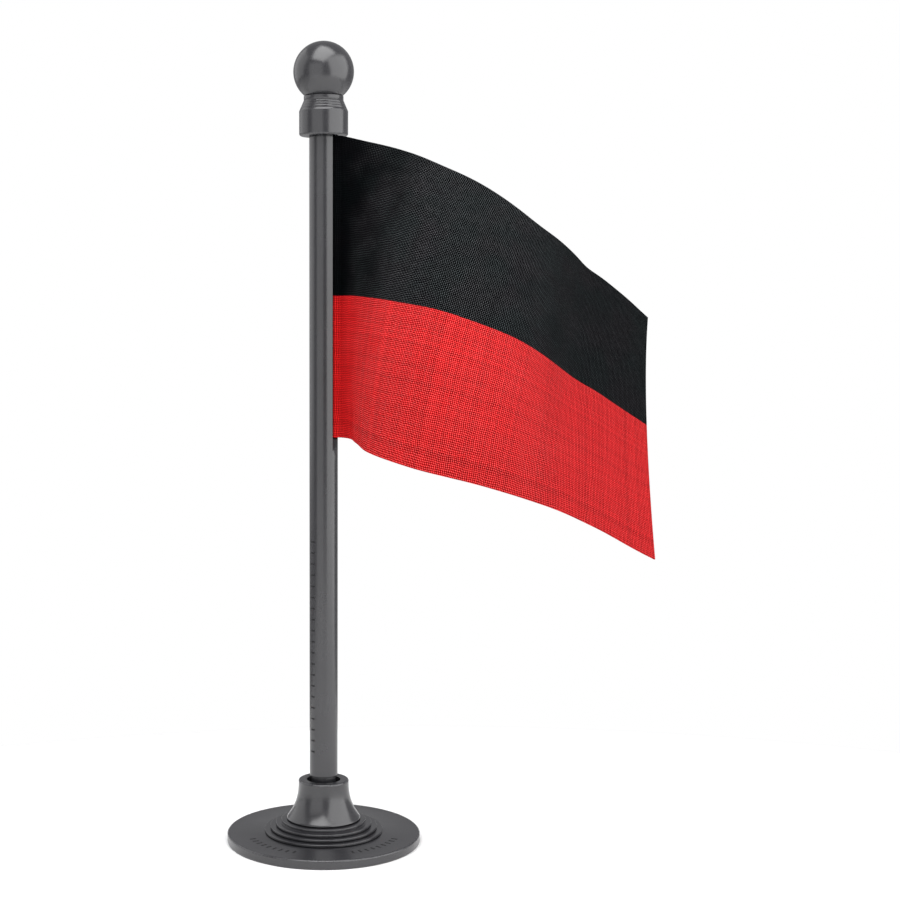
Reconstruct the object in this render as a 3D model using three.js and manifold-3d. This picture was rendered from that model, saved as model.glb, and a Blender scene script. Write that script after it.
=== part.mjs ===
// Miniature desk flag stand: a round foot with a flared socket, a slotted pole, a ball finial on a
// collar, and a two-band cloth whose hoist sits in the pole's slot.
// Millimetres, +Z up. The origin is on the pole's axis, at the underside of the foot.

import * as THREE from "three";
import { mergeVertices } from "three/addons/utils/BufferGeometryUtils.js";
import Module from "manifold-3d";

// ---- driving dimensions ----

const RUNNING_GAP = 0.1; // radial clearance of each push fit
const REST_GAP = 0.3; // clearance between the cloth and what holds it
const DETAIL = 48; // facets round a turned piece

const FOOT = {
  radius: 16.75,
  thickness: 1.6,
  topRounding: 0.75,
  bottomRounding: 0.2,
  recessRadius: 14.4,
  recessDepth: 0.7,
  ringRadii: [10.25, 9.3, 8.3, 7.3], // the stepped rings, from the outside in
  ringStackHeight: 2.25,
};

const SOCKET = {
  footRadius: 6.4,
  neckRadius: 4.36,
  flarePower: 2.5,
  seam: 0.15, // the dark line between the flare and the rings
  rimHeight: 10.8,
  rimRounding: 0.35,
  mouthRadius: 2.9,
  mouthDepth: 1.2,
  boreFloor: 2.7,
  pegRadius: 3.7,
  pegBottom: 1.1,
};

const POLE = {
  radius: 2.43,
  spigotRadius: 2.1,
  shoulderHeight: 11.55,
  topHeight: 124.5,
  chamfer: 0.2,
  slotWidth: 1.7,
  slotAngle: THREE.MathUtils.degToRad(-28), // the way the slot opens, seen from above
};

const CLOTH = {
  hoist: 50.8,
  thickness: 0.5,
  hemThickness: POLE.slotWidth - 2 * REST_GAP,
  hemDepth: 2.2,
  hemTaper: 0.8,
  hemStraight: 0.8, // how far the cloth keeps to the slot's direction outside it
  topHeight: 121.2,
  joinDrop: 26.7, // from the top edge down to the line where the two colours meet
};

const FINIAL = {
  collarBottom: CLOTH.topHeight + REST_GAP,
  collarRadius: 4.13,
  collarRounding: 0.4,
  shoulderHeight: 125.4,
  stepCount: 4,
  stepRise: 0.44,
  neckRadius: 3.35,
  neckTop: 127.85,
  ballRadius: 5.13,
  ballHeight: 131.95,
  pegRadius: 1.8,
  pegBottom: 125.2,
};

// ---- the cloth's guide lines ----
// Each line runs from the slot's mouth to the fly, one [x, y, z] at each station.

const TOP_EDGE = [
  [6.6, -2.5, 120.3],
  [12.2, -4.0, 118.8],
  [18.3, -8.3, 116.2],
  [27.0, -9.5, 111.8],
  [36.3, -5.8, 105.7],
  [45.2, 3.0, 99.7],
  [57.3, 11.4, 90.7],
];

const COLOUR_JOIN = [
  [4.4, -5.4, 94.5],
  [7.0, -12.0, 94.2],
  [11.1, -18.8, 93.5],
  [19.3, -24.2, 91.7],
  [30.3, -23.6, 87.5],
  [40.2, -15.8, 81.4],
  [53.6, -8.5, 73.0],
];

const BOTTOM_EDGE = [
  [4.5, -5.4, 70.5],
  [5.4, -12.2, 70.3],
  [7.2, -19.9, 69.4],
  [13.9, -26.9, 67.5],
  [25.2, -29.6, 64.8],
  [38.1, -26.9, 60.3],
  [52.8, -21.5, 52.4],
];

// ---- outlines ----

const point = (radius, height) => new THREE.Vector2(radius, height);

// Points on a round corner, centred at (radius, height), between two angles in degrees.
function corner(radius, height, rounding, fromDegrees, toDegrees, steps = 4) {
  return Array.from({ length: steps + 1 }, (_, i) => {
    const angle = THREE.MathUtils.degToRad(THREE.MathUtils.lerp(fromDegrees, toDegrees, i / steps));
    return point(radius + rounding * Math.cos(angle), height + rounding * Math.sin(angle));
  });
}

// ---- turned solids ----

// Spins an outline about +Z. The outline runs counter-clockwise in (radius, height), and either
// starts and ends on the axis or closes on itself.
function turned(outline) {
  const geometry = new THREE.LatheGeometry(outline, DETAIL);
  geometry.rotateX(Math.PI / 2);
  return geometry;
}

function closedOutline(points) {
  return [...points, points[0].clone()];
}

function piece(name, geometry, color, roughness, metalness) {
  const mesh = new THREE.Mesh(
    geometry,
    new THREE.MeshStandardMaterial({ color, roughness, metalness, flatShading: true })
  );
  mesh.name = name;
  return mesh;
}

const mouldedPiece = (name, geometry) => piece(name, geometry, 0x5a595e, 0.35, 0.1);

// ---- joining and cutting ----

const wasm = await Module();
wasm.setup();

function toSolid(geometry) {
  const bare = geometry.clone();
  bare.deleteAttribute("normal");
  bare.deleteAttribute("uv");
  const merged = mergeVertices(bare, 1e-4);
  return new wasm.Manifold(
    new wasm.Mesh({
      numProp: 3,
      vertProperties: new Float32Array(merged.attributes.position.array),
      triVerts: new Uint32Array(merged.index.array),
    })
  );
}

function toGeometry(solid) {
  const mesh = solid.getMesh();
  const geometry = new THREE.BufferGeometry();
  geometry.setAttribute("position", new THREE.BufferAttribute(mesh.vertProperties, 3));
  geometry.setIndex(new THREE.BufferAttribute(mesh.triVerts, 1));
  geometry.computeVertexNormals();
  return geometry;
}

// ---- the foot ----

const ringStackTop = FOOT.thickness + FOOT.ringStackHeight;
const footBoreRadius = SOCKET.pegRadius + RUNNING_GAP;

// One step up for each ring: its outer wall's foot and its outer top corner.
function ringSteps() {
  const rise = FOOT.ringStackHeight / FOOT.ringRadii.length;
  return FOOT.ringRadii.flatMap((radius, i) => [
    point(radius, FOOT.thickness + rise * i),
    point(radius, FOOT.thickness + rise * (i + 1)),
  ]);
}

function baseDisc() {
  const { radius, thickness, topRounding, bottomRounding, recessRadius, recessDepth } = FOOT;
  return turned(
    closedOutline([
      point(footBoreRadius, recessDepth),
      point(recessRadius, recessDepth),
      point(recessRadius, 0),
      ...corner(radius - bottomRounding, bottomRounding, bottomRounding, -90, 0, 2),
      ...corner(radius - topRounding, thickness - topRounding, topRounding, 0, 90),
      ...ringSteps(),
      point(footBoreRadius, ringStackTop),
    ])
  );
}

// The thin pad that fills the recess under the foot and rests flush with its rim.
function basePad() {
  const radius = FOOT.recessRadius - REST_GAP;
  const top = FOOT.recessDepth - RUNNING_GAP;
  return turned([point(0, 0), point(radius, 0), point(radius, top), point(0, top)]);
}

// ---- the flared socket ----

// The flare's outside, from its foot up to the straight neck under the rim.
function flare(bottom, top, steps = 9) {
  const { footRadius, neckRadius, flarePower } = SOCKET;
  return Array.from({ length: steps + 1 }, (_, i) => {
    const share = i / steps;
    const radius = neckRadius + (footRadius - neckRadius) * (1 - share) ** flarePower;
    return point(radius, THREE.MathUtils.lerp(bottom, top, share));
  });
}

function socket() {
  const { footRadius, neckRadius, rimHeight, rimRounding, mouthRadius, mouthDepth } = SOCKET;
  const seat = ringStackTop + SOCKET.seam;
  const boreRadius = POLE.spigotRadius + RUNNING_GAP;
  return turned([
    point(0, SOCKET.pegBottom),
    point(SOCKET.pegRadius, SOCKET.pegBottom),
    point(SOCKET.pegRadius, seat),
    point(footRadius, seat),
    ...flare(seat + SOCKET.seam, rimHeight - rimRounding),
    ...corner(neckRadius - rimRounding, rimHeight - rimRounding, rimRounding, 30, 90, 2),
    point(mouthRadius, rimHeight),
    point(mouthRadius, rimHeight - mouthDepth),
    point(boreRadius, rimHeight - mouthDepth),
    point(boreRadius, SOCKET.boreFloor),
    point(0, SOCKET.boreFloor),
  ]);
}

// ---- the pole ----

function pole() {
  const { radius, spigotRadius, shoulderHeight, topHeight, chamfer } = POLE;
  const spigotBottom = SOCKET.boreFloor + REST_GAP;
  const shaft = turned([
    point(0, spigotBottom),
    point(spigotRadius - chamfer, spigotBottom),
    point(spigotRadius, spigotBottom + chamfer),
    point(spigotRadius, shoulderHeight),
    point(radius - chamfer, shoulderHeight),
    point(radius, shoulderHeight + chamfer),
    point(radius, topHeight - chamfer),
    point(radius - chamfer, topHeight),
    point(0, topHeight),
  ]);

  const slotBottom = CLOTH.topHeight - CLOTH.hoist - REST_GAP;
  const slotInnerRadius = radius - CLOTH.hemDepth - REST_GAP;
  const slotOuterRadius = radius + 1;
  const slotHeight = topHeight + 1 - slotBottom;
  const slotCutter = new THREE.BoxGeometry(
    slotOuterRadius - slotInnerRadius,
    POLE.slotWidth,
    slotHeight
  );
  slotCutter.translate((slotOuterRadius + slotInnerRadius) / 2, 0, slotBottom + slotHeight / 2);
  slotCutter.rotateZ(POLE.slotAngle);
  return toGeometry(toSolid(shaft).subtract(toSolid(slotCutter)));
}

// ---- the finial ----

// The fine steps between the neck and the collar's shoulder, from the shoulder up.
function neckSteps() {
  const { collarRadius, neckRadius, shoulderHeight, stepCount, stepRise } = FINIAL;
  const stepIn = (collarRadius - neckRadius) / stepCount;
  return Array.from({ length: stepCount }, (_, i) => i).flatMap((i) => [
    point(collarRadius - stepIn * (i + 0.4), shoulderHeight + stepRise * i),
    point(collarRadius - stepIn * (i + 1), shoulderHeight + stepRise * (i + 0.7)),
  ]);
}

function finialCollar() {
  const { collarBottom, collarRadius, collarRounding, shoulderHeight, neckRadius, neckTop } = FINIAL;
  const poleBore = POLE.radius + RUNNING_GAP;
  const pegBore = FINIAL.pegRadius + RUNNING_GAP;
  const poleBoreTop = POLE.topHeight + REST_GAP;
  const seatDepth = 0.9;
  return turned(
    closedOutline([
      point(poleBore, collarBottom),
      ...corner(
        collarRadius - collarRounding,
        collarBottom + collarRounding,
        collarRounding,
        -90,
        0
      ),
      point(collarRadius, shoulderHeight),
      ...neckSteps(),
      point(neckRadius, neckTop),
      point(pegBore, neckTop - seatDepth),
      point(pegBore, poleBoreTop),
      point(poleBore, poleBoreTop),
    ])
  );
}

function finialBall() {
  const { ballRadius, ballHeight, pegRadius, pegBottom } = FINIAL;
  const pegMeetsBall = THREE.MathUtils.radToDeg(Math.acos(pegRadius / ballRadius));
  const ball = corner(0, ballHeight, ballRadius, -pegMeetsBall, 90, 15);
  ball.at(-1).x = 0;
  return turned([point(0, pegBottom), point(pegRadius, pegBottom), ...ball]);
}

// ---- the cloth ----

// A smooth line from the back of the hem, through the slot's mouth and along the given stations.
function guideLine(stations, height) {
  const outwards = new THREE.Vector3(Math.cos(POLE.slotAngle), Math.sin(POLE.slotAngle), 0);
  const onSlot = (radius) => outwards.clone().multiplyScalar(radius).setZ(height);
  return new THREE.CatmullRomCurve3([
    onSlot(POLE.radius - CLOTH.hemDepth),
    onSlot(POLE.radius),
    onSlot(POLE.radius + CLOTH.hemStraight),
    ...stations.map((station) => new THREE.Vector3(...station)),
  ]);
}

const joinShare = CLOTH.joinDrop / CLOTH.hoist;
const topLine = guideLine(TOP_EDGE, CLOTH.topHeight);
const joinLine = guideLine(COLOUR_JOIN, CLOTH.topHeight - CLOTH.joinDrop);
const bottomLine = guideLine(BOTTOM_EDGE, CLOTH.topHeight - CLOTH.hoist);

// A point of the cloth's middle surface: along runs from the hem to the fly and down from the top
// edge to the bottom edge, both from 0 to 1. Across, it is the parabola through the three lines.
function clothPoint(along, down) {
  const topWeight = ((down - joinShare) * (down - 1)) / joinShare;
  const joinWeight = (down * (down - 1)) / (joinShare * (joinShare - 1));
  const bottomWeight = (down * (down - joinShare)) / (1 - joinShare);
  return new THREE.Vector3()
    .addScaledVector(topLine.getPoint(along), topWeight)
    .addScaledVector(joinLine.getPoint(along), joinWeight)
    .addScaledVector(bottomLine.getPoint(along), bottomWeight);
}

function clothNormal(along, down) {
  const nudge = 0.004;
  const ahead = clothPoint(Math.min(along + nudge, 1), down);
  const behind = clothPoint(Math.max(along - nudge, 0), down);
  const below = clothPoint(along, Math.min(down + nudge, 1));
  const above = clothPoint(along, Math.max(down - nudge, 0));
  return ahead.sub(behind).cross(below.sub(above)).normalize();
}

// The hem fills the slot, and thins to the single cloth just outside it.
function clothThickness(pointOnCloth) {
  const beyondMouth = Math.hypot(pointOnCloth.x, pointOnCloth.y) - POLE.radius;
  const share = THREE.MathUtils.clamp(beyondMouth / CLOTH.hemTaper, 0, 1);
  return THREE.MathUtils.lerp(CLOTH.hemThickness, CLOTH.thickness, share);
}

// Two skins of one grid, closed round their edge.
function flagCloth() {
  const columns = 36;
  const rows = 10;
  const positions = [];
  for (const side of [0.5, -0.5]) {
    for (let i = 0; i <= columns; i += 1) {
      for (let j = 0; j <= rows; j += 1) {
        const middle = clothPoint(i / columns, j / rows);
        const offset = side * clothThickness(middle);
        middle.addScaledVector(clothNormal(i / columns, j / rows), offset);
        positions.push(middle.x, middle.y, middle.z);
      }
    }
  }

  const skinSize = (columns + 1) * (rows + 1);
  const vertex = (side, i, j) => side * skinSize + i * (rows + 1) + j;
  const triangles = [];
  const quad = (a, b, c, d) => triangles.push(a, b, c, a, c, d);
  for (let i = 0; i < columns; i += 1) {
    for (let j = 0; j < rows; j += 1) {
      quad(vertex(0, i, j), vertex(0, i + 1, j), vertex(0, i + 1, j + 1), vertex(0, i, j + 1));
      quad(vertex(1, i, j), vertex(1, i, j + 1), vertex(1, i + 1, j + 1), vertex(1, i + 1, j));
    }
    quad(vertex(0, i, 0), vertex(1, i, 0), vertex(1, i + 1, 0), vertex(0, i + 1, 0));
    quad(vertex(0, i, rows), vertex(0, i + 1, rows), vertex(1, i + 1, rows), vertex(1, i, rows));
  }
  for (let j = 0; j < rows; j += 1) {
    quad(vertex(0, 0, j), vertex(0, 0, j + 1), vertex(1, 0, j + 1), vertex(1, 0, j));
    quad(
      vertex(0, columns, j),
      vertex(1, columns, j),
      vertex(1, columns, j + 1),
      vertex(0, columns, j + 1)
    );
  }

  const geometry = new THREE.BufferGeometry();
  geometry.setAttribute("position", new THREE.Float32BufferAttribute(positions, 3));
  geometry.setIndex(triangles);
  geometry.computeVertexNormals();
  return geometry;
}

// ---- the assembly ----

const stand = new THREE.Group();
stand.add(
  mouldedPiece("base_disc", baseDisc()),
  piece("base_pad", basePad(), 0x222224, 0.95, 0),
  mouldedPiece("socket", socket()),
  mouldedPiece("pole", pole()),
  mouldedPiece("finial_collar", finialCollar()),
  mouldedPiece("finial_ball", finialBall()),
  piece("flag_cloth", flagCloth(), 0xd0282a, 0.8, 0)
);

export default stand;
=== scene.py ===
"""Looks for the miniature desk flag stand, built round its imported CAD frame.

Metres, +Z up. The origin is on the pole's axis at the underside of the foot, and the cloth flies
towards +X.
"""

import math

import bmesh
import bpy
import numpy as np
from mathutils import Matrix, Vector


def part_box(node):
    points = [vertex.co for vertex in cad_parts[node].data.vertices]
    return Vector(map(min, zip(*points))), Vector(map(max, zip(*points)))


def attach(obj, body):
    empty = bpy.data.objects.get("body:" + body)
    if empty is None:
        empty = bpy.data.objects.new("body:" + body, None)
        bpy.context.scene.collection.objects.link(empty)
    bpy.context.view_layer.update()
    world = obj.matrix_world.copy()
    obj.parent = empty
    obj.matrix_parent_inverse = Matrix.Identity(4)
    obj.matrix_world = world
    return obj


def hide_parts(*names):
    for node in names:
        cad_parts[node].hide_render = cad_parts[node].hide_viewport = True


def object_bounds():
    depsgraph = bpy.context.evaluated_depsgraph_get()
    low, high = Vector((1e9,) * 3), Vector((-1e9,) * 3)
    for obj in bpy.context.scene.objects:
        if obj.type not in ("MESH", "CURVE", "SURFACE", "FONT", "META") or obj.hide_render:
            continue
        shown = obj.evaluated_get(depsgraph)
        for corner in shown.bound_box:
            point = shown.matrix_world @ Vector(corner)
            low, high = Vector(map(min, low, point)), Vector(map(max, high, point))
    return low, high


MM = 0.001

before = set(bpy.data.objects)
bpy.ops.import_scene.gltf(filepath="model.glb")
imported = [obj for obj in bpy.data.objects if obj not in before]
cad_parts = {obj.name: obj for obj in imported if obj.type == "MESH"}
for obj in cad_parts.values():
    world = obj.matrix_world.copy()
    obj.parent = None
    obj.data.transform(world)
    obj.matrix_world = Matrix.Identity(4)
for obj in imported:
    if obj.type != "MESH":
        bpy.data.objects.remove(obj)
cad_low, cad_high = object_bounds()

# ---- sizes read from the frame ----

_, disc_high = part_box("base_disc")
_, pad_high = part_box("base_pad")
socket_low, socket_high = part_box("socket")
pole_low, pole_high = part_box("pole")
_, collar_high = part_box("finial_collar")
ball_low, ball_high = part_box("finial_ball")
_, cloth_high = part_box("flag_cloth")

FOOT_RADIUS = disc_high.x
RINGS_TOP = disc_high.z
SOCKET_RADIUS = socket_high.x
RIM_HEIGHT = socket_high.z
POLE_RADIUS = pole_high.x
COLLAR_RADIUS = collar_high.x
NECK_TOP = collar_high.z
BALL_RADIUS = ball_high.x
BALL_CENTRE = ball_high.z - BALL_RADIUS

# ---- sizes that the frame's boxes don't say ----

FOOT_THICKNESS = 1.6 * MM
FOOT_BORE = 3.8 * MM
RECESS_RADIUS = 14.4 * MM
RECESS_DEPTH = 0.7 * MM
RING_COUNT = 4
OUTER_RING_RADIUS = 10.25 * MM
INNER_RING_RADIUS = 7.3 * MM
RING_GROOVE = 0.12 * MM
RING_BAND = 2.6 * MM  # how far each ring reaches inwards
RING_ROUNDING = 0.1 * MM

NECK_RADIUS = 4.36 * MM  # the flared socket's straight neck
FLARE_POWER = 2.5
SEAM = 0.15 * MM  # between the rings and the flare's foot
PEG_RADIUS = 3.7 * MM
MOUTH_RADIUS = 2.9 * MM
MOUTH_DEPTH = 1.2 * MM
SOCKET_BORE = 2.2 * MM
SOCKET_BORE_FLOOR = 2.7 * MM

SPIGOT_RADIUS = 2.1 * MM
POLE_SHOULDER = 11.55 * MM
SLOT_WIDTH = 1.7 * MM
SLOT_BOTTOM = 70.1 * MM
SLOT_INNER = -0.07 * MM
SLOT_ANGLE = math.radians(-28)

COLLAR_BOTTOM = cloth_high.z + 0.05 * MM  # all but resting on the cloth
COLLAR_SHOULDER = 125.4 * MM
GROOVE_COUNT = 4
GROOVE_PITCH = 0.44 * MM
GROOVE_DEPTH = 0.012 * MM
FINIAL_NECK_RADIUS = 3.35 * MM
FINIAL_BORE = 2.53 * MM
FINIAL_BORE_TOP = 124.8 * MM
BALL_PEG_RADIUS = 1.8 * MM
BALL_SEAT_DEPTH = 0.9 * MM

FOOT_TICK_CIRCLE = 13.1 * MM
FOOT_TICK = (1.1 * MM, 0.35 * MM, 0.03 * MM)
FOOT_TICK_ARCS = {"left": (-158, -112), "right": (-68, -22)}  # degrees, seen from above
FOOT_TICK_COUNT = 9
POLE_TICK = (0.06 * MM, 0.8 * MM, 0.24 * MM)
POLE_TICK_ANGLE = math.radians(-140)
POLE_TICK_COUNT = 20
POLE_TICKS_FROM = 16 * MM
POLE_TICKS_TO = 52.5 * MM

FLAG_LENGTH = 76.2 * MM
FLAG_HOIST = 50.8 * MM
JOIN_DROP = 26.7 * MM  # from the top edge to where the two colours meet
HEM_DEPTH = 2.2 * MM
HEM_THICKNESS = 1.1 * MM
HEM_TAPER = 0.8 * MM
HEM_STRAIGHT = 0.8 * MM  # how far the cloth keeps to the slot's direction outside it
CLOTH_THICKNESS = 0.26 * MM

# In the millimetres of the cloth's own flat coordinates, from the hem and from the top edge.
THREAD_PITCH = 0.3
FOLD_PLACE = 59
FOLD_SLANT = 0.05
FOLD_WIDTH = 3.2
FOLD_HEIGHT = 0.42
FOLD_FADE = 40
GLINT_RISES = (3.0, 24.0)  # painted glints on the threads' crowns: from the hoist, where they are faint, to where they are strongest
GLINT_FADES = (66.0, 20.0)  # and on towards the fly, where the painted glints thin out again

ROUND_SEGMENTS = 160

FLOOR_RADIUS = 0.23
FLOOR_MIDDLE = (0.02, -0.15, 0)

CAMERA_PLACE = (0, -293.73 * MM, 92.48 * MM)
CAMERA_DIP = math.radians(4.734)  # how far below level it looks
CAMERA_LENS = 68.84
CAMERA_SHIFT = 0.1404


# ---- meshes and objects ----


def new_object(name, mesh):
    thing = bpy.data.objects.new(name, mesh)
    bpy.context.scene.collection.objects.link(thing)
    return thing


def finished(mesh, material=None):
    """The mesh with doubles merged, normals outward, and smooth shading."""
    work = bmesh.new()
    work.from_mesh(mesh)
    bmesh.ops.remove_doubles(work, verts=work.verts, dist=1e-7)
    bmesh.ops.recalc_face_normals(work, faces=work.faces)
    work.to_mesh(mesh)
    work.free()
    mesh.shade_smooth()
    if material is not None:
        mesh.materials.clear()
        mesh.materials.append(material)
    return mesh


def one_mesh(name, meshes):
    """Several meshes put together as one."""
    work = bmesh.new()
    for mesh in meshes:
        work.from_mesh(mesh)
    together = bpy.data.meshes.new(name)
    work.to_mesh(together)
    work.free()
    return together


def weighted_normals(thing):
    """Flat faces stay flat-looking next to their small roundings."""
    modifier = thing.modifiers.new("weighted_normals", "WEIGHTED_NORMAL")
    modifier.mode = "FACE_AREA"
    modifier.keep_sharp = True


def baked(thing, name):
    """The thing's mesh with its modifiers in it, as a new mesh."""
    bpy.context.view_layer.update()
    seen = thing.evaluated_get(bpy.context.evaluated_depsgraph_get())
    mesh = bpy.data.meshes.new_from_object(seen)
    mesh.name = name
    bpy.data.objects.remove(thing)
    return mesh


# ---- turned pieces ----


def rounded(corners, steps=6):
    """An outline with its corners rounded, each given as (radius, height) with a rounding or none.

    Gives the outline's points and how far each is on a worn edge, from 0 to 1."""
    points, worn = [], []
    places = [Vector(corner[:2]) for corner in corners]
    for i, corner in enumerate(corners):
        here = places[i]
        rounding = corner[2] if len(corner) > 2 else 0
        if not rounding:
            points.append(here)
            worn.append(0.0)
            continue
        back = (places[i - 1] - here).normalized()
        ahead = (places[(i + 1) % len(places)] - here).normalized()
        half = back.angle(ahead) / 2
        centre = here + (back + ahead).normalized() * (rounding / math.sin(half))
        first = here + back * (rounding / math.tan(half)) - centre
        last = here + ahead * (rounding / math.tan(half)) - centre
        for k in range(steps + 1):
            share = k / steps
            points.append(centre + first.lerp(last, share).normalized() * rounding)
            worn.append(math.sin(math.pi * share))
    return points, worn


def turned(name, outline, segments=ROUND_SEGMENTS):
    """A mesh of an outline spun about +Z, with the worn edges in the attribute edge_wear."""
    points, worn = outline
    angles = np.linspace(0, 2 * math.pi, segments, endpoint=False)
    verts, wear, rows = [], [], []
    for point, share in zip(points, worn):
        radius, height = point
        first = len(verts)
        if radius < 1e-9:
            verts.append((0.0, 0.0, height))
            wear.append(share)
            rows.append([first] * segments)
            continue
        verts += [(radius * math.cos(a), radius * math.sin(a), height) for a in angles]
        wear += [share] * segments
        rows.append(range(first, first + segments))
    faces = []
    for i, row in enumerate(rows):
        above = rows[(i + 1) % len(rows)]
        for j in range(segments):
            k = (j + 1) % segments
            face = list(dict.fromkeys([row[j], row[k], above[k], above[j]]))
            if len(face) > 2:
                faces.append(face)
    mesh = bpy.data.meshes.new(name)
    mesh.from_pydata(verts, [], faces)
    mesh.attributes.new("edge_wear", "FLOAT", "POINT").data.foreach_set("value", wear)
    return mesh


# ---- Geometry Nodes ----


def node_tree(name, kind, inputs, outputs):
    """A node group with those sockets, each (name, type) or (name, type, default)."""
    tree = bpy.data.node_groups.new(name, kind)
    for side, sockets in (("INPUT", inputs), ("OUTPUT", outputs)):
        for label, socket_type, *default in sockets:
            socket = tree.interface.new_socket(name=label, in_out=side, socket_type=socket_type)
            if default:
                socket.default_value = default[0]
    return tree, tree.nodes.new("NodeGroupInput"), tree.nodes.new("NodeGroupOutput")


class Wiring:
    """Short ways to add nodes to a tree. A value may be a socket, to link, or a plain value."""

    def __init__(self, tree):
        self.tree = tree

    def put(self, socket, value):
        if isinstance(value, bpy.types.NodeSocket):
            self.tree.links.new(value, socket)
        else:
            socket.default_value = value

    def add(self, kind, settings=None, **values):
        """A node with its properties from settings and its inputs by name, spaces as underscores."""
        node = self.tree.nodes.new(kind)
        for key, value in (settings or {}).items():
            setattr(node, key, value)
        for key, value in values.items():
            self.put(node.inputs[key.replace("_", " ")], value)
        return node

    def math(self, operation, *values):
        node = self.tree.nodes.new("ShaderNodeMath")
        node.operation = operation
        for socket, value in zip(node.inputs, values):
            self.put(socket, value)
        return node.outputs[0]

    def between(self, value, low, high):
        """low + (high - low) * value, kept between low and high."""
        node = self.add("ShaderNodeMapRange", Value=value, To_Min=low, To_Max=high)
        return node.outputs["Result"]

    def ramp(self, value, start, end):
        """0 before the start and 1 past the end, easing in between. The start may be the larger."""
        low, high = min(start, end), max(start, end)
        settings = {"interpolation_type": "SMOOTHSTEP"}
        node = self.add("ShaderNodeMapRange", settings, Value=value, From_Min=low, From_Max=high)
        eased = node.outputs["Result"]
        return eased if start < end else self.math("SUBTRACT", 1.0, eased)

    def mixed(self, share, a, b, blend="MIX"):
        """Two colours mixed."""
        node = self.tree.nodes.new("ShaderNodeMix")
        node.data_type = "RGBA"
        node.blend_type = blend
        for socket, value in zip((node.inputs[0], node.inputs[6], node.inputs[7]), (share, a, b)):
            self.put(socket, value)
        return node.outputs[2]


def grown(name, tree, settings):
    """The mesh that a Geometry Nodes tree makes with those inputs."""
    seed = new_object(name, bpy.data.meshes.new(name))
    modifier = seed.modifiers.new("grow", "NODES")
    modifier.node_group = tree
    for item in tree.interface.items_tree:
        if item.item_type == "SOCKET" and item.in_out == "INPUT" and item.name in settings:
            modifier[item.identifier] = settings[item.name]
    return baked(seed, name)


def stepped_rings_tree():
    """Stacked rings with rounded edges, each smaller than the one below, a groove between."""
    tree, given, made = node_tree(
        "stepped_rings",
        "GeometryNodeTree",
        [
            ("Count", "NodeSocketInt", RING_COUNT),
            ("Bottom radius", "NodeSocketFloat", 0.01),
            ("Top radius", "NodeSocketFloat", 0.006),
            ("Base height", "NodeSocketFloat", 0.0),
            ("Rise", "NodeSocketFloat", 0.0005),
            ("Groove", "NodeSocketFloat", 0.0001),
            ("Band width", "NodeSocketFloat", 0.002),
            ("Rounding", "NodeSocketFloat", 0.0001),
            ("Segments", "NodeSocketInt", ROUND_SEGMENTS),
            ("Material", "NodeSocketMaterial"),
        ],
        [("Geometry", "NodeSocketGeometry")],
    )
    w = Wiring(tree)
    value = given.outputs
    middle = w.math("SUBTRACT", value["Bottom radius"], w.math("DIVIDE", value["Band width"], 2.0))
    circle = w.add(
        "GeometryNodeCurvePrimitiveCircle", Resolution=value["Segments"], Radius=middle
    )
    upright = w.add(
        "GeometryNodeSetCurveNormal", {"mode": "Z_UP"}, Curve=circle.outputs["Curve"]
    )
    section = w.add(
        "GeometryNodeCurvePrimitiveQuadrilateral",
        Width=value["Band width"],
        Height=w.math("SUBTRACT", value["Rise"], value["Groove"]),
    )
    soft_section = w.add(
        "GeometryNodeFilletCurve",
        {"mode": "POLY"},
        Curve=section.outputs["Curve"],
        Count=4,
        Radius=value["Rounding"],
    )
    ring = w.add(
        "GeometryNodeCurveToMesh",
        Curve=upright.outputs["Curve"],
        Profile_Curve=soft_section.outputs["Curve"],
    )
    index = w.add("GeometryNodeInputIndex").outputs[0]
    half_groove = w.math("MULTIPLY", value["Groove"], 0.5)
    climbed = w.math("MULTIPLY", w.math("ADD", index, 0.5), value["Rise"])
    height = w.math("ADD", w.math("ADD", value["Base height"], half_groove), climbed)
    place = w.add("ShaderNodeCombineXYZ", Z=height)
    points = w.add("GeometryNodePoints", Count=value["Count"], Position=place.outputs[0])
    share = w.math("DIVIDE", index, w.math("SUBTRACT", value["Count"], 1.0))
    smallest = w.math("DIVIDE", value["Top radius"], value["Bottom radius"])
    size = w.math("ADD", 1.0, w.math("MULTIPLY", share, w.math("SUBTRACT", smallest, 1.0)))
    stretch = w.add("ShaderNodeCombineXYZ", X=size, Y=size, Z=1.0)
    rings = w.add(
        "GeometryNodeInstanceOnPoints",
        Points=points.outputs[0],
        Instance=ring.outputs["Mesh"],
        Scale=stretch.outputs[0],
    )
    real = w.add("GeometryNodeRealizeInstances", Geometry=rings.outputs["Instances"])
    clad = w.add(
        "GeometryNodeSetMaterial", Geometry=real.outputs["Geometry"], Material=value["Material"]
    )
    w.put(made.inputs["Geometry"], clad.outputs["Geometry"])
    return tree


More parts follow.
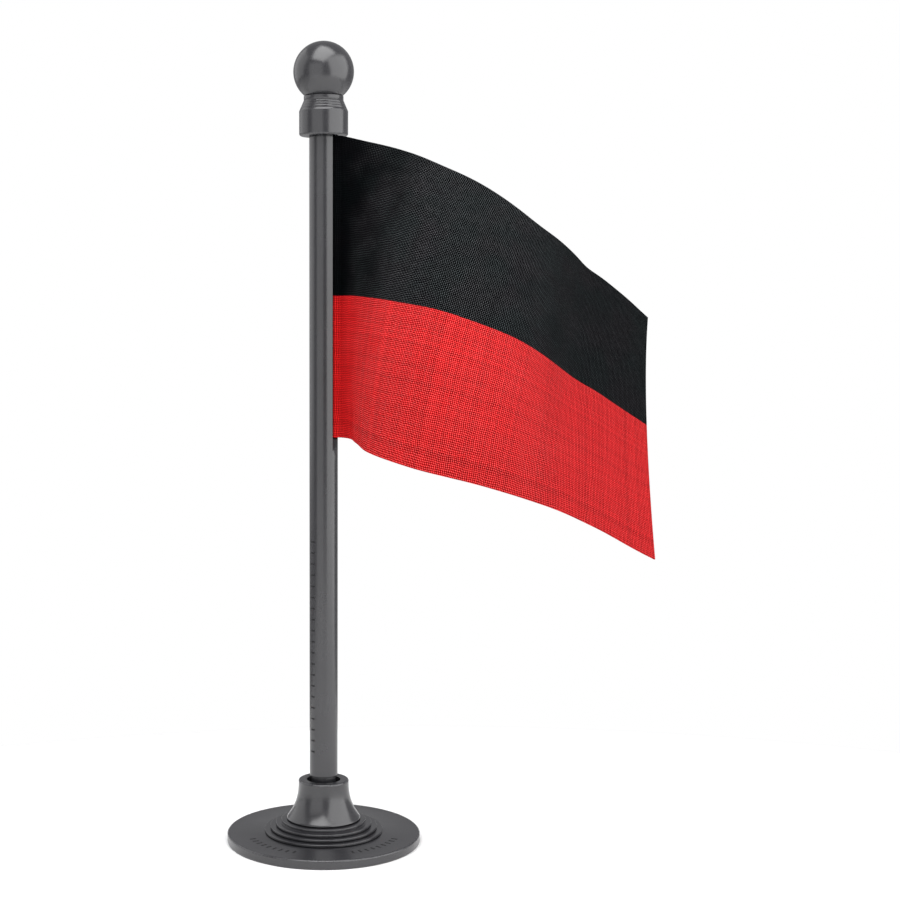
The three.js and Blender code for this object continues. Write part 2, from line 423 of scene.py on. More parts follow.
def tick_row_tree():
    """Small plain raised bars in a row that turns about +Z, climbs along it, or both."""
    tree, given, made = node_tree(
        "tick_row",
        "GeometryNodeTree",
        [
            ("Count", "NodeSocketInt", 10),
            ("Radius", "NodeSocketFloat", 0.01),
            ("First angle", "NodeSocketFloat", 0.0),
            ("Last angle", "NodeSocketFloat", 1.0),
            ("First height", "NodeSocketFloat", 0.0),
            ("Last height", "NodeSocketFloat", 0.0),
            ("Bar", "NodeSocketVector", (0.001, 0.001, 0.001)),
            ("Material", "NodeSocketMaterial"),
        ],
        [("Geometry", "NodeSocketGeometry")],
    )
    w = Wiring(tree)
    value = given.outputs
    index = w.add("GeometryNodeInputIndex").outputs[0]
    share = w.math("DIVIDE", index, w.math("SUBTRACT", value["Count"], 1.0))

    def along(first, last):
        reach = w.math("SUBTRACT", value[last], value[first])
        return w.math("ADD", value[first], w.math("MULTIPLY", share, reach))

    angle = along("First angle", "Last angle")
    place = w.add(
        "ShaderNodeCombineXYZ",
        X=w.math("MULTIPLY", value["Radius"], w.math("COSINE", angle)),
        Y=w.math("MULTIPLY", value["Radius"], w.math("SINE", angle)),
        Z=along("First height", "Last height"),
    )
    points = w.add("GeometryNodePoints", Count=value["Count"], Position=place.outputs[0])
    bar = w.add(
        "GeometryNodeMeshCube", Size=value["Bar"], Vertices_X=2, Vertices_Y=2, Vertices_Z=2
    )
    turn = w.add("ShaderNodeCombineXYZ", Z=angle)
    bars = w.add(
        "GeometryNodeInstanceOnPoints",
        Points=points.outputs[0],
        Instance=bar.outputs["Mesh"],
        Rotation=turn.outputs[0],
    )
    real = w.add("GeometryNodeRealizeInstances", Geometry=bars.outputs["Instances"])
    clad = w.add(
        "GeometryNodeSetMaterial", Geometry=real.outputs["Geometry"], Material=value["Material"]
    )
    w.put(made.inputs["Geometry"], clad.outputs["Geometry"])
    return tree


# ---- materials ----

MOULDING_DARK = (0.0150, 0.0150, 0.0170, 1)
MOULDING_LIGHT = (0.0230, 0.0225, 0.0255, 1)
MOULDING_WORN = (0.0320, 0.0315, 0.0350, 1)
CLOTH_BLACK = (0.0012, 0.0012, 0.0016, 1)
CLOTH_BLACK_COOL = (0.0008, 0.0014, 0.0016, 1)
# pale colour painted on the black threads' crowns as glints of light
BLACK_PAINTED_GLINT = (0.2150, 0.2150, 0.2250, 1)
BLACK_PAINTED_GLINT_COOL = (0.1850, 0.2080, 0.2140, 1)
CLOTH_RED = (0.4400, 0.0095, 0.0105, 1)
CLOTH_RED_DEEP = (0.4050, 0.0080, 0.0090, 1)
# painted shade: the red darkens towards the fly
CLOTH_RED_SHADED_FLY = (0.2850, 0.0090, 0.0100, 1)
# pale colour painted on the red threads' crowns as glints of light
RED_PAINTED_GLINT = (0.6600, 0.2300, 0.2250, 1)
# the pad's dark tone, which is also its painted shade down in the pits
PAD_DARK = (0.0080, 0.0080, 0.0085, 1)
PAD_LIGHT = (0.0220, 0.0220, 0.0225, 1)


def noise(w, coordinates, scale, detail=3.0, roughness=0.5):
    node = w.add(
        "ShaderNodeTexNoise",
        Vector=coordinates,
        Scale=scale,
        Detail=detail,
        Roughness=roughness,
    )
    return node.outputs[0]


def moulded_skin_group():
    """The colour, gloss and fine relief of the dark moulded plastic."""
    tree, given, made = node_tree(
        "moulded_skin",
        "ShaderNodeTree",
        [("Edge wear", "NodeSocketFloat", 0.0)],
        [
            ("Colour", "NodeSocketColor"),
            ("Roughness", "NodeSocketFloat"),
            ("Relief", "NodeSocketFloat"),
        ],
    )
    w = Wiring(tree)
    place = w.add("ShaderNodeTexCoord").outputs["Object"]
    cloudy = w.between(noise(w, place, 140.0), -0.5, 1.5)
    smears = noise(w, place, 420.0, 4.0, 0.6)
    speckle = noise(w, place, 2600.0, 2.0)
    rubbed = w.math(
        "MULTIPLY",
        given.outputs["Edge wear"],
        w.between(noise(w, place, 900.0, 4.0, 0.7), -1.2, 2.2),
    )
    rubbed = w.between(rubbed, 0.0, 1.0)
    body = w.mixed(cloudy, MOULDING_DARK, MOULDING_LIGHT)
    flecked = w.mixed(w.between(speckle, 0.0, 0.35), body, MOULDING_LIGHT)
    colour = w.mixed(rubbed, flecked, MOULDING_WORN)
    gloss = w.math("ADD", w.between(smears, 0.18, 0.30), w.math("MULTIPLY", rubbed, 0.12))
    peel = noise(w, place, 700.0, 2.0)
    grain = noise(w, place, 7000.0, 2.0)
    relief = w.math("ADD", w.math("MULTIPLY", peel, 0.95), w.math("MULTIPLY", grain, 0.05))
    w.put(made.inputs["Colour"], colour)
    w.put(made.inputs["Roughness"], gloss)
    w.put(made.inputs["Relief"], relief)
    return tree


def weave_group():
    """A plain weave: its height over the cloth, each thread's tone, and where the threads' crowns
    are. The tone is a random tone per thread with painted shade down between the threads and painted
    light on their tops.
    """
    tree, given, made = node_tree(
        "plain_weave",
        "ShaderNodeTree",
        [("Cloth", "NodeSocketVector"), ("Pitch", "NodeSocketFloat", 0.3)],
        [
            ("Height", "NodeSocketFloat"),
            ("Tone", "NodeSocketFloat"),
            ("Crown", "NodeSocketFloat"),
        ],
    )
    w = Wiring(tree)
    flat = w.add("ShaderNodeSeparateXYZ", Vector=given.outputs["Cloth"])
    slack = w.between(noise(w, given.outputs["Cloth"], 0.45, 2.0), -0.7, 0.7)
    x = w.math("ADD", w.math("DIVIDE", flat.outputs["X"], given.outputs["Pitch"]), slack)
    y = w.math("SUBTRACT", w.math("DIVIDE", flat.outputs["Y"], given.outputs["Pitch"]), slack)
    column = w.math("FLOOR", x)
    row = w.math("FLOOR", y)

    def thread(across, along, own, side):
        """A thread's height: round across itself, and over and under the threads it meets."""
        section = w.math("SINE", w.math("MULTIPLY", w.math("FRACT", across), math.pi))
        phase = w.math("MULTIPLY", w.math("ADD", w.math("SUBTRACT", along, 0.5), own), math.pi)
        wave = w.math("MULTIPLY", w.math("COSINE", phase), side)
        return w.math("ADD", w.math("MULTIPLY", section, 0.55), wave)

    warp = thread(x, y, column, 0.45)
    weft = thread(y, x, row, -0.45)
    height = w.math("MAXIMUM", warp, weft)
    warp_on_top = w.math("GREATER_THAN", warp, weft)

    def own_tone(number, seed):
        random = w.add("ShaderNodeTexWhiteNoise", {"noise_dimensions": "1D"})
        w.put(random.inputs["W"], w.math("ADD", number, seed))
        return random.outputs["Value"]

    column_tone = w.math("MULTIPLY", own_tone(column, 0.37), warp_on_top)
    row_tone = w.math(
        "MULTIPLY", own_tone(row, 91.73), w.math("SUBTRACT", 1.0, warp_on_top)
    )
    random_tone = w.between(w.math("ADD", column_tone, row_tone), -0.28, 0.28)
    # painted light and shade: each thread lighter towards its top and darker down between the
    # threads
    lit = w.between(height, -0.8, 2.05)
    w.put(made.inputs["Height"], height)
    w.put(made.inputs["Tone"], w.math("MAXIMUM", w.math("ADD", lit, random_tone), 0.02))
    # the threads' crowns, which carry the painted glints
    w.put(made.inputs["Crown"], w.ramp(height, 0.84, 1.0))
    return tree


def printed_bands_group():
    """The cloth's two printed bands, their uneven dye, painted shade on the red towards the fly, and
    pale painted glints of light on the threads' crowns.
    """
    tree, given, made = node_tree(
        "printed_bands",
        "ShaderNodeTree",
        [
            ("Cloth", "NodeSocketVector"),
            ("Tone", "NodeSocketFloat", 1.0),
            ("Crown", "NodeSocketFloat", 0.0),
        ],
        [("Colour", "NodeSocketColor")],
    )
    w = Wiring(tree)
    cloth = given.outputs["Cloth"]
    flat = w.add("ShaderNodeSeparateXYZ", Vector=cloth)
    along, down = flat.outputs["X"], flat.outputs["Y"]

    bleed = w.between(noise(w, cloth, 2.2, 3.0), -0.16, 0.16)
    below_join = w.math("SUBTRACT", w.math("ADD", down, bleed), JOIN_DROP / MM)
    in_red = w.between(w.math("MULTIPLY", below_join, 6.0), 0.0, 1.0)
    patchy = w.ramp(noise(w, cloth, 0.11, 3.0, 0.6), 0.35, 0.65)
    black = w.mixed(patchy, CLOTH_BLACK, CLOTH_BLACK_COOL)
    red = w.mixed(patchy, CLOTH_RED, CLOTH_RED_DEEP)
    # painted shade: the red darkens towards the fly
    red = w.mixed(w.ramp(along, 26.0, 56.0), red, CLOTH_RED_SHADED_FLY)

    # painted glints: pale colour on the threads' crowns, faint at the hoist, strongest across the
    # middle and thinning towards the fly, wandering and streaked at random
    wander = w.between(noise(w, cloth, 0.16, 2.0), -11.0, 11.0)
    place = w.math("ADD", along, wander)
    glint_towards_fly = w.between(w.ramp(place, *GLINT_FADES), 0.32, 1.0)
    raised = w.math("MULTIPLY", w.ramp(place, *GLINT_RISES), glint_towards_fly)
    glint_streaks = w.between(noise(w, cloth, 0.7, 4.0, 0.7), 0.2, 1.05)
    glint_amount = w.between(w.math("MULTIPLY", raised, glint_streaks), 0.03, 1.0)
    painted_glint = w.math("MULTIPLY", glint_amount, given.outputs["Crown"])

    # the weave's painted thread shade shows fully where the painted glints are strongest
    weave_depth = w.between(raised, 0.8, 1.0)
    plain = w.math("SUBTRACT", given.outputs["Tone"], 1.0)
    tone = w.math("ADD", 1.0, w.math("MULTIPLY", plain, weave_depth))
    shade = w.add("ShaderNodeCombineColor", Red=tone, Green=tone, Blue=tone)
    printed = w.mixed(in_red, black, red)
    toned = w.mixed(1.0, printed, shade.outputs[0], "MULTIPLY")
    # the pale painted glint colour on the crowns, mixed over the print
    black_glint = w.mixed(patchy, BLACK_PAINTED_GLINT, BLACK_PAINTED_GLINT_COOL)
    w.put(made.inputs["Colour"], w.mixed(painted_glint, toned, w.mixed(in_red, black_glint, RED_PAINTED_GLINT)))
    return tree


def pad_surface_group():
    """The foot pad's matt, slightly pitted surface, with painted shade darkening it down in its
    pits.
    """
    tree, given, made = node_tree(
        "pad_surface",
        "ShaderNodeTree",
        [("Scale", "NodeSocketFloat", 2400.0)],
        [("Colour", "NodeSocketColor"), ("Relief", "NodeSocketFloat")],
    )
    w = Wiring(tree)
    place = w.add("ShaderNodeTexCoord").outputs["Object"]
    cells = w.add("ShaderNodeTexVoronoi", Vector=place, Scale=given.outputs["Scale"])
    pits = w.between(cells.outputs["Distance"], 0.0, 1.0)
    # painted shade: darker down in each pit, under a random cloudy tone
    cloudy = w.math("MULTIPLY", pits, w.between(noise(w, place, 300.0), 0.3, 1.2))
    w.put(made.inputs["Colour"], w.mixed(cloudy, PAD_DARK, PAD_LIGHT))
    w.put(made.inputs["Relief"], pits)
    return tree


def new_material(name):
    material = bpy.data.materials.new(name)
    material.use_nodes = True
    tree = material.node_tree
    return material, Wiring(tree), tree.nodes["Principled BSDF"]


def group_node(w, group):
    return w.add("ShaderNodeGroup", {"node_tree": group})


def moulding_material(group):
    material, w, shader = new_material("graphite_moulding")
    wear = w.add("ShaderNodeAttribute", {"attribute_name": "edge_wear"})
    skin = group_node(w, group)
    w.put(skin.inputs["Edge wear"], wear.outputs["Fac"])
    bump = w.add(
        "ShaderNodeBump", Strength=0.08, Distance=0.02 * MM, Height=skin.outputs["Relief"]
    )
    w.put(shader.inputs["Base Color"], skin.outputs["Colour"])
    w.put(shader.inputs["Roughness"], skin.outputs["Roughness"])
    w.put(shader.inputs["Normal"], bump.outputs["Normal"])
    w.put(shader.inputs["IOR"], 1.65)
    return material


def marking_material(group):
    """The same plastic on the small raised marks, darker and matt."""
    material, w, shader = new_material("raised_marks")
    skin = group_node(w, group)
    darker = w.mixed(0.6, skin.outputs["Colour"], (0.0, 0.0, 0.0, 1))
    w.put(shader.inputs["Base Color"], darker)
    w.put(shader.inputs["Roughness"], 0.75)
    w.put(shader.inputs["Specular IOR Level"], 0.35)
    return material


def cloth_material(weave, bands):
    material, w, shader = new_material("printed_cloth")
    cloth = w.add("ShaderNodeUVMap", {"uv_map": "flat_mm"}).outputs["UV"]
    threads = group_node(w, weave)
    w.put(threads.inputs["Cloth"], cloth)
    w.put(threads.inputs["Pitch"], THREAD_PITCH)
    print_ = group_node(w, bands)
    w.put(print_.inputs["Cloth"], cloth)
    # the weave's tone, with its painted shade between the threads
    w.put(print_.inputs["Tone"], threads.outputs["Tone"])
    w.put(print_.inputs["Crown"], threads.outputs["Crown"])
    bump = w.add(
        "ShaderNodeBump", Strength=0.8, Distance=0.06 * MM, Height=threads.outputs["Height"]
    )
    w.put(shader.inputs["Base Color"], print_.outputs["Colour"])
    w.put(shader.inputs["Normal"], bump.outputs["Normal"])
    w.put(shader.inputs["Roughness"], 0.7)
    # the cloth's own specular is kept faint; its glints are painted on the threads' crowns instead
    w.put(shader.inputs["Specular IOR Level"], 0.01)
    return material


def pad_material(group):
    material, w, shader = new_material("foot_pad")
    surface = group_node(w, group)
    bump = w.add(
        "ShaderNodeBump", Strength=0.6, Distance=0.05 * MM, Height=surface.outputs["Relief"]
    )
    w.put(shader.inputs["Base Color"], surface.outputs["Colour"])
    w.put(shader.inputs["Normal"], bump.outputs["Normal"])
    w.put(shader.inputs["Roughness"], 0.92)
    return material


# ---- the moulded pieces ----


def foot_outline():
    """The disc with its recess underneath, and the cone that the rings sit round."""
    rim = FOOT_RADIUS
    groove_depth = 4 * RING_GROOVE
    return rounded(
        [
            (FOOT_BORE, RECESS_DEPTH),
            (RECESS_RADIUS, RECESS_DEPTH, 0.1 * MM),
            (RECESS_RADIUS, 0, 0.12 * MM),
            (rim, 0, 0.25 * MM),
            (rim, FOOT_THICKNESS, 0.3 * MM),
            (OUTER_RING_RADIUS - groove_depth, FOOT_THICKNESS),
            (INNER_RING_RADIUS - groove_depth, RINGS_TOP - RING_GROOVE),
            (FOOT_BORE, RINGS_TOP - RING_GROOVE),
        ]
    )


def flare_outline():
    """The socket, from its peg's underside round the flare and rim and down into the bore."""
    seat = RINGS_TOP + SEAM
    lip = 0.35 * MM
    low, high = seat + SEAM, RIM_HEIGHT - lip
    flare = []
    for share in np.linspace(0, 1, 28):
        radius = NECK_RADIUS + (SOCKET_RADIUS - NECK_RADIUS) * (1 - share) ** FLARE_POWER
        flare.append((radius, low + (high - low) * share))
    below, below_wear = rounded(
        [
            (0, socket_low.z),
            (PEG_RADIUS, socket_low.z, 0.2 * MM),
            (PEG_RADIUS, seat),
            (SOCKET_RADIUS, seat),
        ]
    )
    above, above_wear = rounded(
        [
            (NECK_RADIUS, high),
            (NECK_RADIUS, RIM_HEIGHT, 0.3 * MM),
            (MOUTH_RADIUS, RIM_HEIGHT, 0.15 * MM),
            (MOUTH_RADIUS, RIM_HEIGHT - MOUTH_DEPTH, 0.1 * MM),
            (SOCKET_BORE, RIM_HEIGHT - MOUTH_DEPTH),
            (SOCKET_BORE, SOCKET_BORE_FLOOR),
            (0, SOCKET_BORE_FLOOR),
        ]
    )
    points = below + [Vector(place) for place in flare[:-1]] + above
    return points, below_wear + [0.0] * (len(flare) - 1) + above_wear


def slotted_pole_mesh():
    """The shaft, with the slot that holds the cloth open down one side of it."""
    work = bmesh.new()
    wear = work.verts.layers.float.new("edge_wear")
    turn = Matrix.Rotation(SLOT_ANGLE, 3, "Z")
    half = SLOT_WIDTH / 2
    mouth = math.asin(half / POLE_RADIUS)
    mouth_reach = POLE_RADIUS * math.cos(mouth)

    def on_circle(first, last, count):
        angles = np.linspace(first, last, count + 2)[1:-1]
        return [(POLE_RADIUS * math.cos(a), POLE_RADIUS * math.sin(a)) for a in angles]

    arc = on_circle(mouth, 2 * math.pi - mouth, ROUND_SEGMENTS)
    across_mouth = on_circle(2 * math.pi - mouth, 2 * math.pi + mouth, 10)
    open_section, open_wear = rounded(
        [
            *arc,
            (mouth_reach, -half, 0.1 * MM),
            (SLOT_INNER, -half, 0.15 * MM),
            (SLOT_INNER, half, 0.15 * MM),
            (mouth_reach, half, 0.1 * MM),
        ],
        steps=3,
    )

    def ring(section, height, scale=1.0, worn=None):
        made = []
        for i, (x, y) in enumerate(section):
            made.append(work.verts.new(turn @ Vector((x * scale, y * scale, height))))
            made[-1][wear] = worn[i] if worn else 0.0
        return made

    def skin(low, high):
        for i in range(len(low)):
            work.faces.new((low[i - 1], low[i], high[i], high[i - 1]))

    soft = 0.12 * MM
    outline, _ = rounded(
        [
            (0, pole_low.z),
            (SPIGOT_RADIUS, pole_low.z, 0.2 * MM),
            (SPIGOT_RADIUS, POLE_SHOULDER),
            (POLE_RADIUS, POLE_SHOULDER, soft),
            (POLE_RADIUS, SLOT_BOTTOM),
        ]
    )
    levels = [(radius / POLE_RADIUS, height) for radius, height in outline[1:-1]]
    levels += [(1.0, height) for height in np.linspace(levels[-1][1], SLOT_BOTTOM, 16)[1:-1]]
    closed_rings = [ring(arc + across_mouth, height, scale) for scale, height in levels]
    work.faces.new(closed_rings[0][::-1])
    shared = ring(arc, SLOT_BOTTOM)
    sill = ring(across_mouth, SLOT_BOTTOM)
    closed_rings.append(shared + sill)
    for low, high in zip(closed_rings, closed_rings[1:]):
        skin(low, high)

    slot_foot = ring(open_section[len(arc) :], SLOT_BOTTOM, worn=open_wear[len(arc) :])
    work.faces.new([shared[-1], *slot_foot, shared[0], *reversed(sill)])
    below = shared + slot_foot
    for height in np.linspace(SLOT_BOTTOM, pole_high.z, 16)[1:]:
        above = ring(open_section, height, worn=open_wear)
        skin(below, above)
        below = above
    work.faces.new(below)
    mesh = bpy.data.meshes.new("slotted_pole")
    work.to_mesh(mesh)
    work.free()
    return mesh


def collar_outline():
    """The collar, and the fine grooves round the cone between its shoulder and the neck."""
    step_in = (COLLAR_RADIUS - FINIAL_NECK_RADIUS) / GROOVE_COUNT
    grooves = []
    for i in range(1, GROOVE_COUNT + 1):
        radius = COLLAR_RADIUS - step_in * i
        height = COLLAR_SHOULDER + GROOVE_PITCH * i
        grooves += [
            (radius + GROOVE_DEPTH, height - GROOVE_DEPTH),
            (radius - GROOVE_DEPTH, height),
            (radius, height + GROOVE_DEPTH),
        ]
    return rounded(
        [
            (FINIAL_BORE, COLLAR_BOTTOM, 0.1 * MM),
            (COLLAR_RADIUS, COLLAR_BOTTOM, 0.4 * MM),
            (COLLAR_RADIUS, COLLAR_SHOULDER, 0.12 * MM),
            *grooves,
            (FINIAL_NECK_RADIUS, NECK_TOP + 0.12 * MM, 0.05 * MM),
            (BALL_PEG_RADIUS + 0.1 * MM, NECK_TOP - BALL_SEAT_DEPTH),
            (BALL_PEG_RADIUS + 0.1 * MM, FINIAL_BORE_TOP),
            (FINIAL_BORE, FINIAL_BORE_TOP),
        ]
    )


def ball_outline():
    """The ball and the peg under it."""
    first = -math.acos(BALL_PEG_RADIUS / BALL_RADIUS)
    points = [Vector((0, ball_low.z)), Vector((BALL_PEG_RADIUS, ball_low.z))]
    for angle in np.linspace(first, math.pi / 2, 90):
        radius = max(0.0, BALL_RADIUS * math.cos(angle))
        points.append(Vector((radius, BALL_CENTRE + BALL_RADIUS * math.sin(angle))))
    points[-1].x = 0
    return points, [0.0] * len(points)


# ---- the cloth ----
# Each guide line runs from the slot's mouth to the fly, in millimetres.

TOP_EDGE = [
    (6.6, -2.5, 120.3),
    (12.2, -4.0, 118.8),
    (18.3, -8.3, 116.2),
    (27.0, -9.5, 111.8),
    (36.3, -5.8, 105.7),
    (45.2, 3.0, 99.7),
    (57.3, 11.4, 90.7),
]
COLOUR_JOIN = [
    (4.4, -5.4, 94.5),
    (7.0, -12.0, 94.2),
    (11.1, -18.8, 93.5),
    (19.3, -24.2, 91.7),
    (30.3, -23.6, 87.5),
    (40.2, -15.8, 81.4),
    (53.6, -8.5, 73.0),
]
BOTTOM_EDGE = [
    (4.5, -5.4, 70.5),
    (5.4, -12.2, 70.3),
    (7.2, -19.9, 69.4),
    (13.9, -26.9, 67.5),
    (25.2, -29.6, 64.8),
    (38.1, -26.9, 60.3),
    (52.8, -21.5, 52.4),
]
CLOTH_COLUMNS = 240
CLOTH_ROWS = 160


def guide_line(stations, height):
    """A smooth line from the back of the hem through the stations, as evenly spaced points."""
    outwards = np.array([math.cos(SLOT_ANGLE), math.sin(SLOT_ANGLE), 0])
    upright = np.array([0, 0, height])
    on_slot = [POLE_RADIUS - HEM_DEPTH, POLE_RADIUS, POLE_RADIUS + HEM_STRAIGHT]
    hem = [outwards * radius + upright for radius in on_slot]
    places = np.array(hem + [np.array(station) * MM for station in stations])
    knots = np.r_[0, np.cumsum(np.sqrt(np.linalg.norm(np.diff(places, axis=0), axis=1)))]
    slopes = np.gradient(places, knots, axis=0)
    fine = []
    for i, step in enumerate(np.diff(knots)):
        t = np.linspace(0, 1, 60, endpoint=False)[:, None]
        start, end = places[i], places[i + 1]
        fine.append(
            (1 + 2 * t) * (1 - t) ** 2 * start
            + t * (1 - t) ** 2 * step * slopes[i]
            + t**2 * (3 - 2 * t) * end
            + t**2 * (t - 1) * step * slopes[i + 1]
        )
    fine = np.vstack([*fine, places[-1:]])
    lengths = np.r_[0, np.cumsum(np.linalg.norm(np.diff(fine, axis=0), axis=1))]
    even = np.linspace(0, lengths[-1], CLOTH_COLUMNS + 1)
    return np.stack([np.interp(even, lengths, fine[:, k]) for k in range(3)], axis=1)


def cloth_middle():
    """The cloth's middle surface as a grid of points, column by column from the hem to the fly."""
    top = guide_line(TOP_EDGE, cloth_high.z)
    join = guide_line(COLOUR_JOIN, cloth_high.z - JOIN_DROP)
    bottom = guide_line(BOTTOM_EDGE, cloth_high.z - FLAG_HOIST)
    down = np.linspace(0, 1, CLOTH_ROWS + 1)[None, :, None]
    share = JOIN_DROP / FLAG_HOIST
    smooth = (
        top[:, None] * (down - share) * (down - 1) / share
        + join[:, None] * down * (down - 1) / (share * (share - 1))
        + bottom[:, None] * down * (down - share) / (1 - share)
    )
    return smooth + surface_normals(smooth) * ripples()[..., None]


def ripples():
    """How far each point of the grid stands off the smooth surface: one fold and soft waves."""
    along = np.linspace(0, FLAG_LENGTH / MM, CLOTH_COLUMNS + 1)[:, None]
    down = np.linspace(0, FLAG_HOIST / MM, CLOTH_ROWS + 1)[None, :]
    across_fold = (along - (FOLD_PLACE + FOLD_SLANT * down)) / FOLD_WIDTH
    fold = FOLD_HEIGHT * np.exp(-(across_fold**2)) * np.exp(-down / FOLD_FADE)
    waves = 0.05 * np.sin(along / 2.9 + down / 21) + 0.03 * np.sin(along / 1.7 - down / 13 + 1.0)
    free = np.clip((along - 8) / 10, 0, 1)
    return (fold + waves * free) * MM


def surface_normals(grid):
    along = np.gradient(grid, axis=0)
    down = np.gradient(grid, axis=1)
    normal = np.cross(along, down)
    return normal / np.linalg.norm(normal, axis=2, keepdims=True)


def flag_mesh(material):
    """The cloth as two skins closed round their edge, with its flat millimetres as its UV."""
    middle = cloth_middle()
    normals = surface_normals(middle)
    beyond = np.hypot(middle[..., 0], middle[..., 1]) - POLE_RADIUS
    share = np.clip(beyond / HEM_TAPER, 0, 1)[..., None]
    thickness = HEM_THICKNESS + (CLOTH_THICKNESS - HEM_THICKNESS) * share
    skins = [middle + normals * thickness * side for side in (0.5, -0.5)]
    verts = np.concatenate([skin.reshape(-1, 3) for skin in skins])

    columns, rows = CLOTH_COLUMNS, CLOTH_ROWS
    index = np.arange(2 * (columns + 1) * (rows + 1)).reshape(2, columns + 1, rows + 1)

    def quads(a, b, c, d):
        return np.stack([x.ravel() for x in (a, b, c, d)], axis=1)

    front, back = index
    faces = [
        quads(front[:-1, :-1], front[1:, :-1], front[1:, 1:], front[:-1, 1:]),
        quads(back[:-1, :-1], back[:-1, 1:], back[1:, 1:], back[1:, :-1]),
        quads(front[:-1, 0], back[:-1, 0], back[1:, 0], front[1:, 0]),
        quads(front[:-1, -1], front[1:, -1], back[1:, -1], back[:-1, -1]),
        quads(front[0, :-1], front[0, 1:], back[0, 1:], back[0, :-1]),
        quads(front[-1, :-1], back[-1, :-1], back[-1, 1:], front[-1, 1:]),
    ]
    mesh = bpy.data.meshes.new("flag")
    mesh.from_pydata(verts.tolist(), [], np.concatenate(faces).tolist())
    flat = np.stack(
        np.meshgrid(
            np.linspace(0, FLAG_LENGTH / MM, columns + 1),
            np.linspace(0, FLAG_HOIST / MM, rows + 1),
            indexing="ij",
        ),
        axis=-1,
    ).reshape(-1, 2)
    corners = np.zeros(len(mesh.loops), int)
    mesh.loops.foreach_get("vertex_index", corners)
    uv = mesh.uv_layers.new(name="flat_mm")
    uv.data.foreach_set("uv", np.concatenate([flat, flat])[corners].ravel())
    mesh.shade_smooth()
    mesh.set_sharp_from_angle(angle=math.radians(60))
    mesh.materials.append(material)
    return mesh


# ---- putting the pieces in place ----

moulded_skin = moulded_skin_group()
moulding = moulding_material(moulded_skin)
raised_marks = marking_material(moulded_skin)
printed_cloth = cloth_material(weave_group(), printed_bands_group())
pad_rubber = pad_material(pad_surface_group())


def stand_in(name, mesh, body, slot, *nodes):
    """A finished piece that rides on a body and stands for those CAD nodes."""
    piece = new_object(name, mesh)
    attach(piece, body)
    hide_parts(*nodes)
    return piece


def moulded(name, mesh, body, *nodes, material=None):
    piece = stand_in(name, finished(mesh, material or moulding), body, "moulding", *nodes)
    weighted_normals(piece)
    return piece


stepped_rings = stepped_rings_tree()
tick_row = tick_row_tree()

foot_rings = grown(
    "foot_rings",
    stepped_rings,
    {
        "Count": RING_COUNT,
        "Bottom radius": OUTER_RING_RADIUS,
        "Top radius": INNER_RING_RADIUS,
        "Base height": FOOT_THICKNESS,
        "Rise": (RINGS_TOP - FOOT_THICKNESS) / RING_COUNT,
        "Band width": RING_BAND,
        "Groove": RING_GROOVE,
        "Rounding": RING_ROUNDING,
        "Material": moulding,
    },
)
foot_ticks = [
    grown(
        f"foot_ticks_{side}",
        tick_row,
        {
            "Count": FOOT_TICK_COUNT,
            "Radius": FOOT_TICK_CIRCLE,
            "First angle": math.radians(first),
            "Last angle": math.radians(last),
            "First height": FOOT_THICKNESS,
            "Last height": FOOT_THICKNESS,
            "Bar": FOOT_TICK,
            "Material": raised_marks,
        },
    )
    for side, (first, last) in FOOT_TICK_ARCS.items()
]
pole_ticks = grown(
    "pole_ticks",
    tick_row,
    {
        "Count": POLE_TICK_COUNT,
        "Radius": POLE_RADIUS,
        "First angle": POLE_TICK_ANGLE,
        "Last angle": POLE_TICK_ANGLE,
        "First height": POLE_TICKS_FROM,
        "Last height": POLE_TICKS_TO,
        "Bar": POLE_TICK,
        "Material": raised_marks,
    },
)
moulded("foot_disc", turned("foot_disc", foot_outline()), "base", "base_disc")
moulded("foot_rings", foot_rings, "base", "base_disc")
moulded(
    "foot_ticks", one_mesh("foot_ticks", foot_ticks), "base", "base_disc", material=raised_marks
)
moulded("flared_socket", turned("flared_socket", flare_outline()), "socket", "socket")
moulded("slotted_pole", slotted_pole_mesh(), "pole", "pole")
moulded("pole_ticks", pole_ticks, "pole", "pole", material=raised_marks)
moulded("collar", turned("collar", collar_outline()), "finial", "finial_collar")
moulded("ball", turned("ball", ball_outline()), "finial", "finial_ball")

pad_outline = rounded(
    [
        (0, 0),
        (pad_high.x, 0, 0.1 * MM),
        (pad_high.x, pad_high.z, 0.1 * MM),
        (0, pad_high.z),
    ]
)
pad_mesh = finished(turned("foot_pad", pad_outline), pad_rubber)
weighted_normals(stand_in("foot_pad", pad_mesh, "base", "pad", "base_pad"))

flag = stand_in("flag", flag_mesh(printed_cloth), "flag", "cloth", "flag_cloth")
flag.visible_glossy = False  # its mirror image would break up the finish of the pole and the ball

# ---- floor, lights and camera ----


def floor():
    disc = bmesh.new()
    middle = Matrix.Translation(FLOOR_MIDDLE)
    bmesh.ops.create_circle(disc, cap_ends=True, segments=96, radius=FLOOR_RADIUS, matrix=middle)
    mesh = bpy.data.meshes.new("floor")
    disc.to_mesh(mesh)
    disc.free()
    material, w, shader = new_material("pale_floor")
    w.put(shader.inputs["Base Color"], (0.9, 0.9, 0.9, 1))
    w.put(shader.inputs["Roughness"], 0.7)
    mesh.materials.append(material)
    new_object("floor", mesh)


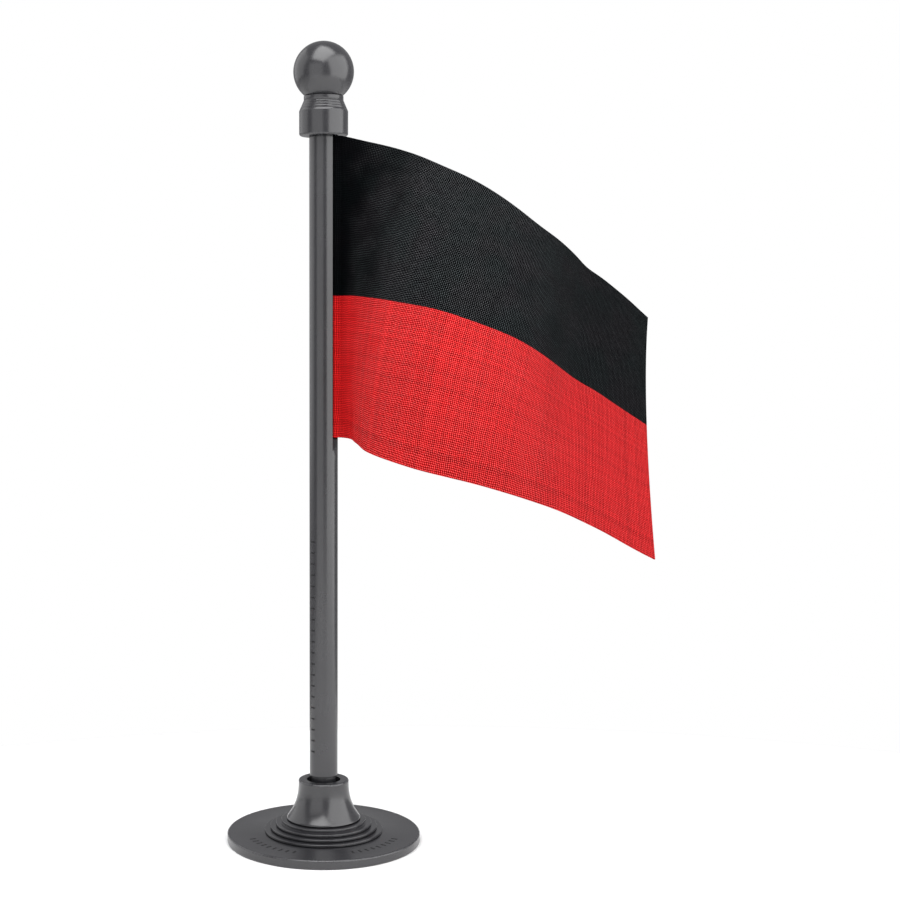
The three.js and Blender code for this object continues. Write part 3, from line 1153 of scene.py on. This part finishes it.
def softbox(name, centre, width, height, radiance, roll=0.0):
    """A rectangular light that faces the middle of the stand."""
    light = bpy.data.lights.new(name, "AREA")
    light.shape = "RECTANGLE"
    light.size, light.size_y = width, height
    light.energy = radiance * math.pi * width * height
    box = new_object(name, light)
    towards = Vector((0, 0, (cad_low.z + cad_high.z) / 2)) - Vector(centre)
    turn = towards.to_track_quat("-Z", "Y").to_euler()
    turn.rotate_axis("Z", roll)
    box.location = centre
    box.rotation_euler = turn
    box.visible_camera = False


def studio():
    """White behind the stand, and a dim room with softboxes round it."""
    world = bpy.data.worlds.new("studio")
    bpy.context.scene.world = world
    world.use_nodes = True
    w = Wiring(world.node_tree)
    world.node_tree.nodes.clear()
    outwards = w.add("ShaderNodeTexCoord").outputs["Generated"]
    direction = w.add("ShaderNodeSeparateXYZ", Vector=outwards)
    from_below = w.ramp(direction.outputs["Z"], -0.18, -0.45)
    colour = w.mixed(from_below, (0.38, 0.38, 0.39, 1), (1.0, 1.0, 1.0, 1))
    room = w.add("ShaderNodeBackground", Color=colour, Strength=1.0)
    white = w.add("ShaderNodeBackground", Color=(1, 1, 1, 1), Strength=1.0)
    path = w.add("ShaderNodeLightPath")
    seen = w.tree.nodes.new("ShaderNodeMixShader")
    w.put(seen.inputs[0], path.outputs["Is Camera Ray"])
    w.put(seen.inputs[1], room.outputs[0])
    w.put(seen.inputs[2], white.outputs[0])
    out = w.tree.nodes.new("ShaderNodeOutputWorld")
    w.put(out.inputs["Surface"], seen.outputs[0])

    softbox("overhead", (-0.03, -0.26, 0.73), 0.63, 0.80, 4.0, math.radians(-28))
    softbox("right_panel", (0.60, -0.30, 0.28), 1.15, 1.0, 2.3)
    softbox("left_panel", (-0.65, 0.26, 0.35), 0.9, 0.8, 0.85)
    softbox("front_fill", (-0.40, -0.69, 0.10), 0.8, 0.8, 0.9)


def camera():
    lens = bpy.data.cameras.new("camera")
    lens.lens = CAMERA_LENS
    lens.sensor_width = 36
    lens.shift_x = CAMERA_SHIFT
    lens.clip_start, lens.clip_end = 0.01, 10
    eye = new_object("camera", lens)
    eye.location = CAMERA_PLACE
    eye.rotation_euler = (math.radians(90) - CAMERA_DIP, 0, 0)
    bpy.context.scene.camera = eye


floor()
studio()
camera()
bpy.context.scene.view_settings.view_transform = "Standard"
